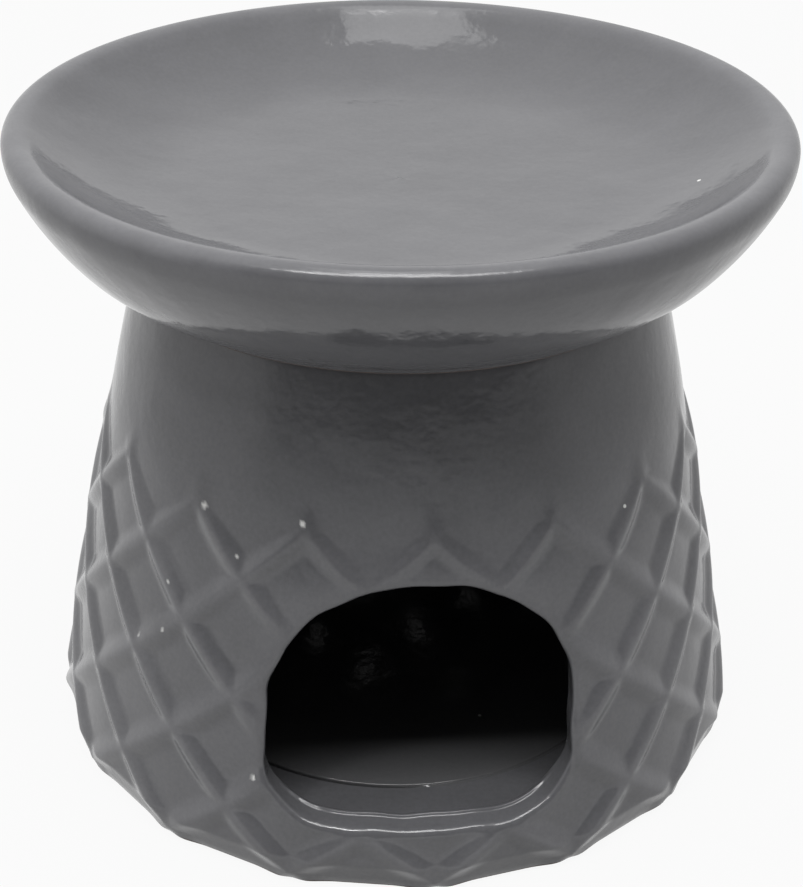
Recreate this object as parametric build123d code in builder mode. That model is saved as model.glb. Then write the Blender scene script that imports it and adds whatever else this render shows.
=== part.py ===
"""Essential oil burner in glazed slip-cast ceramic, in millimetres.

A tapered body with a diamond lattice and a hand-cut window carries a shallow oil dish,
which stands loose on the neck rim. A floor disc is bedded in the foot under the candle.
The origin is at the middle of the resting face, with +Z up and the window towards -Y.
"""
import os
from math import atan2, cos, degrees, hypot, pi, radians, sin, tan

from build123d import *

# Body
body_height = 82.0
neck_radius = 41.2
belly_radius = 56.3
belly_height = 10.0
body_bulge = 0.6
foot_flare = 0.5
foot_round = 1.1
wall = 5.0
floor_height = 6.0

# Diamond lattice on the body
lattice_count = 16
lattice_rows = 6
lattice_turn = 2.2
row_pitch = 9.3
bottom_row_height = 2.0
ridge_rise = 0.7
ridge_width = 1.5
ridge_fade = 3.0
pan_depth = 0.8
pan_slope = 62.0

# Window for the candle, with the side that it faces as a turn from +X
window_turn = -90.0
window_width = 47.0
window_sill_height = 11.4
window_side_height = 18.8
window_arch_height = 21.0
window_sill_round = 9.0

# Floor disc bedded in the foot
disc_radius = 39.3
disc_rise = 0.4
disc_edge_round = 0.3
disc_clearance = 0.15
ledge_width = 3.8
ledge_height = 2.4

# Oil dish
dish_radius = 60.0
dish_height = 22.8
lip_radius = 2.0
lip_inner_radius = 3.5
lip_slope = 42.0
dish_foot_radius = 42.9
dish_floor = 5.0
dish_bowl_depth = 10.5
spigot_depth = 4.0
spigot_wall = 4.0
spigot_clearance = 0.4

# Outline of the dish wall, as shares of the way from its lip to its foot
outer_radius_shares = (0.047, 0.48, 0.82, 1.0)
outer_height_shares = (0.154, 0.668, 0.89, 1.0)
# Outline of the bowl, as shares of the way from its middle to the inner edge of the lip
bowl_radius_shares = (0.611, 0.7725, 1.0)
bowl_height_shares = (0.016, 0.193, 1.0)

# Cuts run this far past the face that they open
overrun = 2.0

# Heights and places that follow from the sizes above
foot_radius = belly_radius + foot_flare
row_heights = [bottom_row_height + row_pitch * row for row in range(lattice_rows + 1)]
lattice_top = row_heights[lattice_rows]
fade_top = lattice_top + ridge_fade
belly_middle = (belly_height + lattice_top) / 2
neck_middle = (fade_top + body_height) / 2
inner_belly = belly_radius - wall
inner_neck = neck_radius - wall
inner_middle = (belly_height + body_height) / 2
pocket_radius = disc_radius + disc_clearance
ledge_radius = disc_radius - ledge_width
disc_top = floor_height + disc_rise
half_step = pi / lattice_count
window_spring_height = window_sill_height + window_side_height
facing = radians(window_turn)
window_plane = Plane((0, 0, 0), x_dir=(-sin(facing), cos(facing), 0), z_dir=(cos(facing), sin(facing), 0))
dish_top = body_height + dish_height
lip_height = dish_top - lip_radius
lip_middle = dish_radius - lip_radius
bowl_edge = lip_middle - lip_inner_radius * sin(radians(lip_slope))
bowl_edge_height = dish_top - lip_inner_radius * (1 - cos(radians(lip_slope)))
bowl_bottom = dish_top - dish_bowl_depth
under_height = bowl_bottom - dish_floor
spigot_radius = inner_neck - spigot_clearance
spigot_bore = spigot_radius - spigot_wall
spigot_end = body_height - spigot_depth


def body_radius(height):
    """Radius of the plain body, without its ridges, at a height above the belly line."""
    share = (height - belly_height) / (body_height - belly_height)
    chord = belly_radius + (neck_radius - belly_radius) * share
    return chord + body_bulge * 4 * share * (1 - share)


def ridge_radius(height):
    """Radius over the ridges at a height, following the foot below the belly line."""
    if height < belly_height:
        share = height / belly_height
        return foot_radius + (belly_radius + ridge_rise - foot_radius) * share
    return body_radius(height) + ridge_rise


def tangent_outline(start, heading, points):
    """Chain of arcs through the points, each leaving on the heading of the one before."""
    for point in points:
        arc = TangentArc(start, point, tangent=heading)
        heading = arc % 1
        start = point


def lattice_pan(height, depth):
    """Cutter for one diamond pan, sunk to a depth under the ridges on the +X side."""
    radius = ridge_radius(height)
    lean = atan2(radius - ridge_radius(height + row_pitch), row_pitch)
    half_width = half_step * radius
    edge_length = hypot(half_width, row_pitch)
    edge_distance = half_width * row_pitch / edge_length - ridge_width / 2
    top = edge_distance + overrun * tan(radians(pan_slope))
    bottom = edge_distance - depth * tan(radians(pan_slope))
    surface = Plane((radius, 0, height), x_dir=(0, 1, 0), z_dir=(cos(lean), 0, sin(lean)))
    across = surface.x_dir * (half_width / edge_length)
    along = surface.y_dir * (row_pitch / edge_length)
    # Two crossing troughs with sloped sides meet in the pan
    troughs = [(across + along, Mode.ADD), (across - along, Mode.INTERSECT)]
    with BuildPart() as pan:
        for direction, mode in troughs:
            side = surface.z_dir.cross(direction)
            with BuildSketch(Plane(surface.origin, x_dir=side, z_dir=direction)):
                Polygon((top, overrun), (-top, overrun), (-bottom, -depth), (bottom, -depth), align=None)
            extrude(amount=edge_length * 2, both=True, mode=mode)
    return pan.part


os.makedirs("parts", exist_ok=True)

# The pans of each row; the top row only clears the ridges off the plain neck
row_pans = [lattice_pan(height, ridge_rise + pan_depth) for height in row_heights[:-1]]
row_pans.append(lattice_pan(lattice_top, ridge_rise))

# Body: a turned wall, open at the neck, with a ledge in its foot for the floor disc
with BuildPart() as burner_body:
    with BuildSketch(Plane.XZ):
        with BuildLine():
            Line((ledge_radius, 0), (foot_radius - foot_round, 0))
            RadiusArc((foot_radius - foot_round, 0), (foot_radius, foot_round), -foot_round)
            Line((foot_radius, foot_round), (ridge_radius(belly_height), belly_height))
            ThreePointArc(
                (ridge_radius(belly_height), belly_height),
                (ridge_radius(belly_middle), belly_middle),
                (ridge_radius(lattice_top), lattice_top),
            )
            Line((ridge_radius(lattice_top), lattice_top), (body_radius(fade_top), fade_top))
            ThreePointArc(
                (body_radius(fade_top), fade_top),
                (body_radius(neck_middle), neck_middle),
                (neck_radius, body_height),
            )
            Line((neck_radius, body_height), (inner_neck, body_height))
            ThreePointArc(
                (inner_neck, body_height),
                (body_radius(inner_middle) - wall, inner_middle),
                (inner_belly, belly_height),
            )
            Line((inner_belly, belly_height), (inner_belly, floor_height))
            Line((inner_belly, floor_height), (pocket_radius, floor_height))
            Line((pocket_radius, floor_height), (pocket_radius, ledge_height))
            Line((pocket_radius, ledge_height), (ledge_radius, ledge_height))
            Line((ledge_radius, ledge_height), (ledge_radius, 0))
        make_face()
    revolve(axis=Axis.Z)
    # Window, through the front wall alone: straight sides under an elliptical arch
    with BuildSketch(window_plane):
        with Locations((0, window_spring_height)):
            Ellipse(window_width / 2, window_arch_height)
            Rectangle(window_width, window_arch_height, align=(Align.CENTER, Align.MAX), mode=Mode.SUBTRACT)
            Rectangle(window_width, window_side_height, align=(Align.CENTER, Align.MAX))
        fillet(vertices().group_by(Axis.Y)[0], radius=window_sill_round)
    extrude(amount=belly_radius + ridge_rise + overrun, mode=Mode.SUBTRACT)
    # Diamond pans, row by row, leave the crossing ridges standing
    for row, pan in enumerate(row_pans):
        turn = window_turn + lattice_turn + degrees(half_step) * ((lattice_rows - row + 1) % 2)
        with PolarLocations(0, lattice_count, start_angle=turn):
            add(pan, mode=Mode.SUBTRACT)
burner_body.part.label = "burner_body"
export_step(burner_body.part, "parts/burner_body.step")

# Floor disc: bedded on the ledge of the foot, a little proud of the floor round it
with BuildPart() as floor_disc:
    with BuildSketch(Plane.XY.offset(ledge_height)):
        Circle(disc_radius)
    extrude(amount=disc_top - ledge_height)
    fillet(floor_disc.faces().sort_by(Axis.Z)[-1].edges(), radius=disc_edge_round)
floor_disc.part.label = "floor_disc"
export_step(floor_disc.part, "parts/floor_disc.step")

# Oil dish: a shallow bowl on a foot that stands on the neck rim, with a spigot inside the neck
outer_points = [
    (
        dish_radius + (dish_foot_radius - dish_radius) * radius_share,
        lip_height + (body_height - lip_height) * height_share,
    )
    for radius_share, height_share in zip(outer_radius_shares, outer_height_shares)
]
bowl_points = [
    (bowl_edge * radius_share, bowl_bottom + (bowl_edge_height - bowl_bottom) * height_share)
    for radius_share, height_share in zip(bowl_radius_shares, bowl_height_shares)
]
with BuildPart() as oil_dish:
    with BuildSketch(Plane.XZ):
        with BuildLine():
            tangent_outline((0, bowl_bottom), (1, 0), bowl_points + [(lip_middle, dish_top)])
            tangent_outline((lip_middle, dish_top), (1, 0), [(dish_radius, lip_height)])
            tangent_outline((dish_radius, lip_height), (0, -1), outer_points)
            Line((dish_foot_radius, body_height), (spigot_radius, body_height))
            Line((spigot_radius, body_height), (spigot_radius, spigot_end))
            Line((spigot_radius, spigot_end), (spigot_bore, spigot_end))
            Line((spigot_bore, spigot_end), (spigot_bore, under_height))
            Line((spigot_bore, under_height), (0, under_height))
            Line((0, under_height), (0, bowl_bottom))
        make_face()
    revolve(axis=Axis.Z)
oil_dish.part.label = "oil_dish"
export_step(oil_dish.part, "parts/oil_dish.step")
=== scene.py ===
"""Essential oil burner in glazed ceramic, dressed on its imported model.

A tapered body with a diamond lattice and a hand-cut candle window carries a loose oil dish.
Lengths are metres in the row frame: +Z is up and the candle window looks towards -Y.
"""
import logging
import math
from dataclasses import dataclass, field
from enum import Enum

import bmesh
import bpy
import numpy as np
from mathutils import Matrix, Vector


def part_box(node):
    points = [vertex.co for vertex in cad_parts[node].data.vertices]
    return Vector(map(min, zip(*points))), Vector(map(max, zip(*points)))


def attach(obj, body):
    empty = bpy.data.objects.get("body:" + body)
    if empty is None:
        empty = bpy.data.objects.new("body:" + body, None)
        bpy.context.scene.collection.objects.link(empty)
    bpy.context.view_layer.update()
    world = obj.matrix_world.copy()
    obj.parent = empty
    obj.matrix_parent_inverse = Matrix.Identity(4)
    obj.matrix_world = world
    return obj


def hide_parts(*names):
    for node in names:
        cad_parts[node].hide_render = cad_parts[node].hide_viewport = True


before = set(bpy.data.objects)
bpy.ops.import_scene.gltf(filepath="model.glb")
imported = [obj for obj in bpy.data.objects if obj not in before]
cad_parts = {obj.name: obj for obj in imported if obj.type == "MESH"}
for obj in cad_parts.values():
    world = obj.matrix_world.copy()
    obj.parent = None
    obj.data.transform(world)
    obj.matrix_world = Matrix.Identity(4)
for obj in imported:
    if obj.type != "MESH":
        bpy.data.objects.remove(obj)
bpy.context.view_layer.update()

MM = 0.001
FULL_TURN = 2 * math.pi
WINDOW_TURN = math.radians(-90)
IMAGE_WIDTH = 803

# White spots set into the glaze colour, as the turn from the window in degrees, the height and the size in mm
FLECKS = (
    (-41, 57.4, 0.5), (-21, 58.7, 0.5), (-33, 51.6, 0.3), (-47, 43.5, 0.3),
    (-47, 35.5, 0.3), (-53, 32.0, 0.25), (-27, 17.3, 0.4),
)

Array = np.ndarray
log = logging.getLogger("oil_burner")


class Body(Enum):
    """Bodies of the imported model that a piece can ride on."""

    BODY = "body"
    DISH = "dish"


class Slot(Enum):
    """Material slots of the record."""

    BODY_GLAZE = "body_glaze"
    FLOOR_GLAZE = "floor_glaze"
    DISH_GLAZE = "dish_glaze"


class Mark(Enum):
    """Values that a mesh carries for its glaze."""

    CREST = "crest"
    BARE = "bare"
    # Painted shade: darkens the colour of the chamber's inside.
    SOOT = "soot"
    FLECK = "fleck"


def smooth_max(first: Array, second: Array, reach: float) -> Array:
    """Takes the larger of two fields, with the crease between them rounded.

    Args:
        first: One field.
        second: The other field.
        reach: How far apart the fields still blend.

    Returns:
        The blended field.
    """
    near = np.clip(reach - np.abs(first - second), 0, None) / reach
    return np.maximum(first, second) + near * near * reach / 4


def smooth_step(value: Array, start: float, end: float) -> Array:
    """Rises smoothly from 0 at start to 1 at end."""
    share = np.clip((value - start) / (end - start), 0, 1)
    return share * share * (3 - 2 * share)


def ripple(angle: Array, height: Array, size: float, seed: int) -> Array:
    """Slow unevenness of a hand-finished casting.

    Args:
        angle: Turn round the axis.
        height: Height, or another length along the outline.
        size: Largest rise of the unevenness.
        seed: Picks one pattern.

    Returns:
        A rise for each place.
    """
    draw = np.random.default_rng(seed)
    total = np.zeros(np.broadcast(angle, height).shape)
    waves = 6
    for wave in range(1, waves + 1):
        phase, lean = draw.uniform(0, FULL_TURN), draw.uniform(-120, 120)
        total = total + np.sin(wave * angle + lean * height + phase) / wave
    return total * size / 2


@dataclass
class Draft:
    """Points and triangles of one piece, gathered patch by patch."""

    points: list[Array] = field(default_factory=list)
    faces: list[Array] = field(default_factory=list)
    marks: dict[Mark, list[Array]] = field(default_factory=lambda: {mark: [] for mark in Mark})
    count: int = 0

    def add_points(
        self, points: Array, crest: Array | float = 0.0, bare: Array | float = 0.0,
        soot: Array | float = 0.0, fleck: Array | float = 0.0,
    ) -> Array:
        """Adds points and returns their numbers.

        Args:
            points: Places, one to a row.
            crest: How near each point is to a crest, where the glaze is rougher and its colour is lightened as a
                painted highlight.
            bare: How bare of glaze each point is.
            soot: How much each point's colour is darkened as painted shade inside the chamber.
            fleck: How far each point lies in a white fleck.

        Returns:
            The numbers of the new points.
        """
        size = len(points)
        self.points.append(np.asarray(points, float))
        self.marks[Mark.CREST].append(np.broadcast_to(crest, size))
        self.marks[Mark.BARE].append(np.broadcast_to(bare, size))
        self.marks[Mark.SOOT].append(np.broadcast_to(soot, size))
        self.marks[Mark.FLECK].append(np.broadcast_to(fleck, size))
        numbers = np.arange(self.count, self.count + size)
        self.count += size
        return numbers

    def add_strip(self, first: Array, second: Array) -> None:
        """Joins two closed loops that have the same number of points."""
        first_next = np.roll(first, -1)
        second_next = np.roll(second, -1)
        self.faces.append(np.column_stack((first, first_next, second_next)))
        self.faces.append(np.column_stack((first, second_next, second)))

    def add_zip(self, first: Array, first_places: Array, second: Array, second_places: Array) -> None:
        """Joins two closed loops with different numbers of points.

        Args:
            first: Points of one loop, in order.
            first_places: Their places round the loop, rising from 0 to 1.
            second: Points of the other loop, in order.
            second_places: Their places round the loop, rising from 0 to 1.
        """
        start = int(np.argmin((second_places - first_places[0]) % 1))
        second = np.roll(second, -start)
        ahead = np.roll(second_places, -start)
        places = np.append((first_places - first_places[0]) % 1, 1.0)
        others = np.append((ahead - first_places[0]) % 1, 1.0 + (ahead[0] - first_places[0]) % 1)
        one, two = 0, 0
        triangles = []
        while one < len(first) or two < len(second):
            a, b = first[one % len(first)], second[two % len(second)]
            if two == len(second) or (one < len(first) and places[one + 1] <= others[two + 1]):
                triangles.append((a, first[(one + 1) % len(first)], b))
                one += 1
            else:
                triangles.append((a, second[(two + 1) % len(second)], b))
                two += 1
        self.faces.append(np.array(triangles))

    def add_fan(self, loop: Array, middle: int) -> None:
        """Closes a loop with triangles to one point in its middle."""
        self.faces.append(np.column_stack((loop, np.roll(loop, -1), np.full(len(loop), middle))))

    def to_object(self, name: str, material: bpy.types.Material) -> bpy.types.Object:
        """Makes the smooth-shaded object.

        Args:
            name: Name of the piece.
            material: Its finish.

        Returns:
            The object, linked to the scene.
        """
        mesh = bpy.data.meshes.new(name)
        points = np.concatenate(self.points)
        faces = np.concatenate(self.faces)
        used = np.zeros(len(points), bool)
        used[faces.ravel()] = True
        numbers = np.cumsum(used) - 1
        mesh.from_pydata(points[used].tolist(), [], numbers[faces].tolist())
        for mark, values in self.marks.items():
            layer = mesh.attributes.new(mark.value, "FLOAT", "POINT")
            layer.data.foreach_set("value", np.concatenate(values)[used].astype(np.float32))
        shape = bmesh.new()
        shape.from_mesh(mesh)
        bmesh.ops.recalc_face_normals(shape, faces=shape.faces)
        shape.to_mesh(mesh)
        shape.free()
        mesh.shade_smooth()
        mesh.materials.append(material)
        piece = bpy.data.objects.new(name, mesh)
        bpy.context.scene.collection.objects.link(piece)
        return piece


def turned(radius: Array, angle: Array, height: Array) -> Array:
    """Places at a radius, a turn and a height, one to a row."""
    radius, angle, height = np.broadcast_arrays(radius, angle, height)
    return np.column_stack((
        (radius * np.cos(angle)).ravel(), (radius * np.sin(angle)).ravel(), height.ravel()
    ))


def tangent_arcs(start: tuple[float, float], heading: float, points: list[tuple[float, float]], step: float) -> Array:
    """Samples a chain of arcs through points, each leaving on the heading of the one before.

    Args:
        start: First point, as radius and height.
        heading: Direction in which the chain leaves it.
        points: The points that follow.
        step: Length between samples.

    Returns:
        Samples after the start, one to a row, up to the last point.
    """
    samples = []
    here = np.array(start, float)
    for point in points:
        chord = np.array(point) - here
        length = float(np.hypot(*chord))
        bend = (math.atan2(chord[1], chord[0]) - heading + math.pi) % FULL_TURN - math.pi
        pieces = max(3, math.ceil(length / step))
        shares = np.arange(1, pieces + 1) / pieces
        reach = np.sin(shares * bend) / math.sin(bend) * length if abs(bend) > 1e-6 else shares * length
        turn = heading + shares * bend
        samples.append(here + np.column_stack((reach * np.cos(turn), reach * np.sin(turn))))
        heading += 2 * bend
        here = np.array(point, float)
    return np.concatenate(samples)


def rounded_corner(corner: tuple[float, float], radius: float, start: float, end: float, pieces: int) -> Array:
    """Samples an arc in radius and height, with its middle a radius inside a corner.

    Args:
        corner: Middle of the arc.
        radius: Radius of the arc.
        start: First direction, in degrees.
        end: Last direction, in degrees.
        pieces: Number of steps.

    Returns:
        Samples from start to end, one to a row.
    """
    turn = np.radians(np.linspace(start, end, pieces + 1))
    return np.column_stack((corner[0] + radius * np.cos(turn), corner[1] + radius * np.sin(turn)))


@dataclass(frozen=True)
class Lattice:
    """Diamond lattice pressed into the body: narrow ridges round flat pans."""

    columns: int = 16
    rows: int = 6
    turn: float = WINDOW_TURN + math.radians(2.2)
    pitch: float = 9.3 * MM
    foot_row: float = 2.0 * MM
    rise: float = 0.7 * MM
    depth: float = 1.0 * MM
    fade: float = 3.0 * MM
    crest_round: float = 0.8 * MM
    bevel: float = 0.5
    crease: float = 0.4 * MM
    flatness: float = 0.0

    @property
    def half_step(self) -> float:
        """Turn from a ridge crossing to the next one, half a column on."""
        return math.pi / self.columns

    @property
    def top(self) -> float:
        """Height of the topmost ridge crossings."""
        return self.foot_row + self.rows * self.pitch

    def crossings(self, angle: Array, height: Array) -> tuple[Array, Array]:
        """Places across the two families of ridges, which run where these are whole numbers."""
        across = (angle - self.turn) / self.half_step
        down = np.clip((self.top - height) / self.pitch, 0, None)
        return (across + down) / 2, (across - down) / 2


@dataclass(frozen=True)
class WindowOutline:
    """Outline of the candle window, as seen from the front, cut by hand in the soft clay."""

    width: float = 46.3 * MM
    sill: float = 11.4 * MM
    side: float = 18.8 * MM
    arch: float = 20.1 * MM
    corner: float = 9.0 * MM
    waver: float = 0.3 * MM
    shoulder_drop: float = 1.15 * MM
    shoulder_place: float = 0.66
    shoulder_width: float = 0.075
    samples: int = 480

    @property
    def spring(self) -> float:
        """Height at which the straight sides pass into the arch."""
        return self.sill + self.side

    def outline(self, grow: float) -> tuple[Array, Array]:
        """Points of the outline and its outward directions.

        Args:
            grow: Distance by which the outline is widened all round.

        Returns:
            The points and the directions, both as x and z, one to a row.
        """
        half = self.width / 2
        dense = 200
        arch_turn = np.linspace(0, math.pi, 4 * dense)
        arch = np.column_stack((half * np.cos(arch_turn), self.spring + self.arch * np.sin(arch_turn)))
        right = rounded_corner((half - self.corner, self.sill + self.corner), self.corner, -90, 0, dense)
        left = rounded_corner((self.corner - half, self.sill + self.corner), self.corner, 180, 270, dense)
        path = np.concatenate(([(0, self.sill)], right, arch, left, [(0, self.sill)]))
        length = np.append(0, np.cumsum(np.hypot(*np.diff(path, axis=0).T)))
        place = np.arange(self.samples) / self.samples
        points = np.column_stack([np.interp(place * length[-1], length, path[:, axis]) for axis in (0, 1)])
        ahead = np.roll(points, -2, axis=0) - np.roll(points, 2, axis=0)
        outward = np.column_stack((ahead[:, 1], -ahead[:, 0])) / np.hypot(*ahead.T)[:, None]
        wave = np.sin(FULL_TURN * 5 * place + 0.6) + 0.7 * np.sin(FULL_TURN * 11 * place + 2.1)
        wave = wave + 0.45 * np.sin(FULL_TURN * 19 * place + 4.0)
        shoulder = np.exp(-((place - self.shoulder_place) / self.shoulder_width) ** 2)
        shift = grow + self.waver * wave / 2 - self.shoulder_drop * shoulder
        return points + outward * shift[:, None], outward

    def gap(self, across: Array, height: Array) -> Array:
        """Rough distance outside the outline, without its waver."""
        half = self.width / 2
        side = np.abs(across) - (half - self.corner)
        low = self.sill + self.corner - height
        beyond = np.hypot(np.clip(side, 0, None), np.clip(low, 0, None))
        straight = beyond + np.clip(np.maximum(side, low), None, 0) - self.corner
        arched = (np.hypot(across / half, (height - self.spring) / self.arch) - 1) * half
        return np.where(height < self.spring, straight, arched)

    def measure(self, across: Array, height: Array, grow: float) -> tuple[Array, Array, Array]:
        """Finds the nearest place on the outline.

        Args:
            across: Places along x.
            height: Places along z.
            grow: Distance by which the outline is widened all round.

        Returns:
            The distance outside the outline, the place round it from 0 to 1, and the nearest point.
        """
        points, outward = self.outline(grow)
        step = np.roll(points, -1, axis=0) - points
        place = np.column_stack((across, height))
        offset = place[:, None, :] - points[None, :, :]
        share = np.clip((offset * step).sum(2) / (step * step).sum(1), 0, 1)
        gap = offset - share[:, :, None] * step
        best = np.argmin((gap * gap).sum(2), axis=1)
        row = np.arange(len(place))
        shares = share[row, best]
        nearest = points[best] + shares[:, None] * step[best]
        side = ((place - nearest) * outward[best]).sum(1)
        distance = np.sqrt((gap[row, best] ** 2).sum(1)) * np.where(side < 0, -1, 1)
        return distance, ((best + shares) / self.samples) % 1, nearest


@dataclass
class BurnerShell:
    """Body of the burner: a turned wall with the lattice outside and the candle window in front."""

    height: float
    neck_radius: float = 41.2 * MM
    belly_radius: float = 57.2 * MM
    belly_height: float = 5.0 * MM
    bulge: float = 0.7 * MM
    foot_radius: float = 56.7 * MM
    foot_round: float = 1.1 * MM
    rim_round: float = 1.2 * MM
    wall: float = 5.0 * MM
    floor_height: float = 6.0 * MM
    floor_round: float = 2.6 * MM
    ledge_radius: float = 35.5 * MM
    ledge_height: float = 2.4 * MM
    pocket_radius: float = 39.45 * MM
    edge_round: float = 1.1 * MM
    collar: float = 1.7 * MM
    dimple: float = 1.1 * MM
    hem_width: float = 2.6 * MM
    hem_share: float = 0.75
    arch_reach: float = 9.0 * MM
    arch_softening: float = 0.65
    unevenness: float = 0.12 * MM
    sill_bead: float = 0.45 * MM
    flecks: tuple[tuple[float, float, float], ...] = FLECKS
    lattice: Lattice = field(default_factory=Lattice)
    window: WindowOutline = field(default_factory=WindowOutline)
    outer_steps: int = 24
    inner_segments: int = 384

    def plain_radius(self, height: Array) -> Array:
        """Radius of the body without its lattice."""
        share = (height - self.belly_height) / (self.height - self.belly_height)
        chord = self.belly_radius + (self.neck_radius - self.belly_radius) * share
        return chord + self.bulge * 4 * share * (1 - share)

    def ridge_radius(self, height: Array) -> Array:
        """Radius over the ridges, which follows the foot below the belly."""
        share = height / self.belly_height
        foot = self.foot_radius + (self.belly_radius + self.lattice.rise - self.foot_radius) * share
        fade = 1 - smooth_step(height, self.lattice.top - self.lattice.pitch, self.lattice.top + 2 * self.lattice.fade)
        return np.where(height < self.belly_height, foot, self.plain_radius(height) + self.lattice.rise * fade)

    def outer_surface(self, angle: Array, height: Array) -> tuple[Array, Array]:
        """Radius of the outside with its lattice, and how near each place is to a crest.

        Args:
            angle: Turn round the axis.
            height: Height above the table.

        Returns:
            The radius and the nearness to a crest, from 0 to 1.
        """
        lattice = self.lattice
        first, second = lattice.crossings(angle, height)
        ridge = self.ridge_radius(height)
        half_width = lattice.half_step * ridge
        spacing = 2 * half_width * lattice.pitch / np.hypot(half_width, lattice.pitch)
        slopes = []
        for family in (first, second):
            gap = np.abs(family - np.rint(family)) * spacing
            slopes.append(ridge - lattice.bevel * (np.hypot(gap, lattice.crest_round) - lattice.crest_round))
        bevels = smooth_max(slopes[0], slopes[1], lattice.crease)
        first_middle, second_middle = np.floor(first) + 0.5, np.floor(second) + 0.5
        middle_angle = lattice.turn + (first_middle + second_middle) * lattice.half_step
        row = np.rint(first_middle - second_middle)
        gap = self.window_gap(ridge, angle, height)
        sink = 1 - smooth_step(height, lattice.top - lattice.pitch, lattice.top + 2 * lattice.fade)
        sink = np.where(row > 0, 1.0, sink)
        arch = smooth_step(height, self.window.spring, self.window.spring + self.window.arch)
        sink = sink * (1 - self.arch_softening * arch * np.exp(-(gap / self.arch_reach) ** 2))
        flatness = np.where(row < lattice.rows, lattice.flatness, 1.0)
        chord = ridge * (1 / np.cos(angle - middle_angle) - 1)
        floor = ridge - sink * (lattice.depth - flatness * chord)
        radius = smooth_max(bevels, floor, lattice.crease)
        above = smooth_step(height, lattice.top - lattice.fade / 2, lattice.top + 2 * lattice.fade)
        plain = ridge - sink * lattice.depth
        radius = radius + (plain - radius) * above
        hem = self.hem_share * np.exp(-(np.clip(gap, 0, None) / self.hem_width) ** 2)
        radius = radius + (ridge - lattice.depth / 2 - radius) * hem
        # Nearness to a crest, which roughens the glaze and lightens its colour as a painted highlight.
        crest = np.clip(1 - (ridge - radius) / (0.8 * lattice.depth), 0, 1)
        crest = crest * (1 - smooth_step(height, lattice.top - lattice.pitch / 2, lattice.top + lattice.fade))
        radius = radius + ripple(angle, height, self.unevenness, seed=3)
        foot_gap = np.clip(self.foot_round - height, 0, None)
        radius = radius - (self.foot_round - np.sqrt(self.foot_round ** 2 - foot_gap ** 2))
        rim_gap = np.clip(height - (self.height - self.rim_round), 0, None)
        radius = radius - (self.rim_round - np.sqrt(np.clip(self.rim_round ** 2 - rim_gap ** 2, 0, None)))
        return radius, crest

    def window_gap(self, radius: Array, angle: Array, height: Array) -> Array:
        """Rough distance from the edge of the window, which is large at the back."""
        turn = angle - WINDOW_TURN
        gap = self.window.gap(radius * np.sin(turn), height)
        return np.where(np.cos(turn) > 0, gap, self.height)

    def inner_surface(self, angle: Array, height: Array) -> Array:
        """Radius of the inside, which bulges in softly behind each pan."""
        first, second = self.lattice.crossings(angle, height)
        swell = (np.sin(math.pi * first) * np.sin(math.pi * second)) ** 2
        fade = smooth_step(height, self.floor_height + self.floor_round, self.belly_height + self.lattice.pitch)
        fade = fade * (1 - smooth_step(height, self.lattice.top - self.lattice.pitch, self.lattice.top))
        wall = self.plain_radius(np.maximum(height, self.belly_height)) - self.wall
        return wall - self.dimple * swell * fade + ripple(angle, height, 1.5 * self.unevenness, seed=8) * fade

    def front_angle(self, across: Array, height: Array, outside: bool) -> tuple[Array, Array]:
        """Finds where a line along y meets the front wall.

        Args:
            across: Place along x.
            height: Height above the table.
            outside: Whether the outside of the wall is meant, or the inside.

        Returns:
            The turn round the axis and the radius there.
        """
        radius = self.plain_radius(height)
        for _ in range(8):
            angle = WINDOW_TURN + np.arcsin(across / radius)
            radius = self.outer_surface(angle, height)[0] if outside else self.inner_surface(angle, height)
        return angle, radius

    def outer_rows(self) -> Array:
        """Heights of the rows of points on the outside, closest on the lattice and at the rounded edges."""
        lattice = self.lattice
        foot = self.foot_round * (1 - np.cos(np.radians(np.linspace(0, 80, 6))))
        step = lattice.pitch / self.outer_steps
        pressed = np.arange(lattice.foot_row, lattice.top + lattice.fade + step, step)
        neck = np.arange(pressed[-1] + 2 * step, self.height - self.rim_round - step, 2 * step)
        rim = self.height - self.rim_round * (1 - np.sin(np.radians(np.linspace(0, 90, 7))))
        return np.concatenate((foot, pressed, neck, rim))

    def inner_outline(self) -> tuple[Array, Array, int]:
        """Outline of the underside, floor and inside, from the foot to the rim.

        Returns:
            The radii and heights of the rows, and the number of the first row on the chamber wall.
        """
        inside = self.belly_radius - self.wall
        foot = self.foot_radius - self.foot_round
        under = [(foot - self.lattice.depth - 0.6 * MM, 0.0), (0.5 * (foot + self.ledge_radius), 0.0), (self.ledge_radius + 0.6 * MM, 0.0)]
        under += [(self.ledge_radius, 0.6 * MM), (self.ledge_radius, self.ledge_height)]
        under += [(self.pocket_radius, self.ledge_height), (self.pocket_radius, self.floor_height - 0.3 * MM)]
        lip = rounded_corner(
            (self.pocket_radius + 0.3 * MM, self.floor_height - 0.3 * MM), 0.3 * MM, 180, 90, 4
        )[1:]
        cove = rounded_corner(
            (inside - self.floor_round, self.floor_height + self.floor_round), self.floor_round, -90, 0, 8
        )
        wall_heights = np.linspace(self.floor_height + self.floor_round, self.height - self.rim_round, 130)[1:]
        rim_turn = np.radians(np.linspace(0, 75, 5))[1:]
        rim_heights = self.height - self.rim_round * (1 - np.sin(rim_turn))
        heights = np.concatenate((np.array(under)[:, 1], lip[:, 1], cove[:, 1], wall_heights, rim_heights))
        radii = np.concatenate((np.array(under)[:, 0], lip[:, 0], cove[:, 0]))
        first_wall = len(radii)
        rim_radii = self.rim_round * (1 - np.cos(rim_turn))
        offsets = np.concatenate((np.zeros(len(wall_heights)), rim_radii))
        return np.concatenate((radii, offsets)), heights, first_wall

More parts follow.
